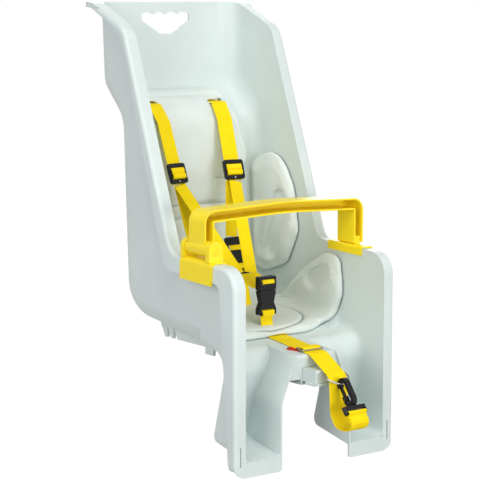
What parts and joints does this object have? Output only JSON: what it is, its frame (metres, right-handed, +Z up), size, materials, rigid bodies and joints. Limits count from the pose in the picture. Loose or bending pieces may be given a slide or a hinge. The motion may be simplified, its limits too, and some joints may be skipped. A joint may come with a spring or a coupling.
{
  "type": "child bike seat",
  "caption": "Moulded high-backed child seat for a rear bicycle rack, with pads, harness, hinged grab bar, rack latch and a safety strap with snap hook.",
  "frame": {"origin": "on the median plane, at the height of the rack rails that the seat slides on", "axes": "+Z up, the child faces -Y, +X is the viewer's right when facing the seat from the front"},
  "size_m": [0.3468, 0.5472, 0.763],
  "materials": {
    "shell_plastic": "satin moulded polypropylene",
    "pad_foam": "moulded soft foam",
    "webbing": "woven webbing",
    "black_plastic": "satin",
    "yellow_plastic": "semi-gloss",
    "steel_wire": "nickel plated",
    "red_webbing": "woven"
  },
  "bodies": {
    "seat": {"back_pad": "pad_foam", "buckle_socket": "black_plastic", "buckle_tongue": "black_plastic", "catch_bracket": "yellow_plastic", "crotch_keeper": "black_plastic", "crotch_strap": "webbing", "d_ring": "steel_wire", "hinge_bracket": "yellow_plastic", "hinge_pin": "yellow_plastic", "hook_base": "black_plastic", "latch_cover": "shell_plastic", "latch_spring": "steel_wire", "left_adjuster": "black_plastic", "left_chest_strap": "webbing", "left_hip_plate": "black_plastic", "left_hip_strap": "webbing", "left_lap_strap": "webbing", "left_shoulder_strap": "webbing", "left_side_pad": "pad_foam", "left_strap_keeper": "black_plastic", "pull_tab": "red_webbing", "right_adjuster": "black_plastic", "right_chest_strap": "webbing", "right_hip_plate": "black_plastic", "right_hip_strap": "webbing", "right_lap_strap": "webbing", "right_shoulder_strap": "webbing", "right_side_pad": "pad_foam", "right_strap_keeper": "black_plastic", "safety_strap": "webbing", "seat_pad": "pad_foam", "shell": "shell_plastic", "strap_slider": "steel_wire", "yoke_strap": "webbing"},
    "bar": {"grab_bar": "yellow_plastic"},
    "latch": {"rack_latch": "shell_plastic"},
    "hook": {"hook_body": "black_plastic", "gate_pin": "steel_wire"},
    "gate": {"hook_gate": "black_plastic"}
  },
  "joints": [
    {"name": "grab_bar_hinge", "type": "hinge", "parent": "seat", "child": "bar", "pos_m": [-0.158, -0.0805, 0.182], "axis": [0, -1, 0], "range_deg": [0, 90]},
    {"name": "rack_latch_slide", "type": "slide", "parent": "seat", "child": "latch", "axis": [0, 1, 0], "range_m": [0, 0.008], "stiffness_N_per_m": 900, "springref_m": -0.002, "deforming": ["latch_spring"]},
    {"name": "hook_swivel", "type": "hinge", "parent": "seat", "child": "hook", "pos_m": [0.005, -0.25716, -0.04906], "axis": [0, 0.6018, 0.7986], "range_deg": [-15, 15]},
    {"name": "hook_gate_hinge", "type": "hinge", "parent": "hook", "child": "gate", "pos_m": [0.005, -0.25538, -0.06167], "axis": [1, 0, 0], "range_deg": [0, 25], "stiffness_Nm_per_rad": 0.02, "springref_deg": -8.59}
  ]
}
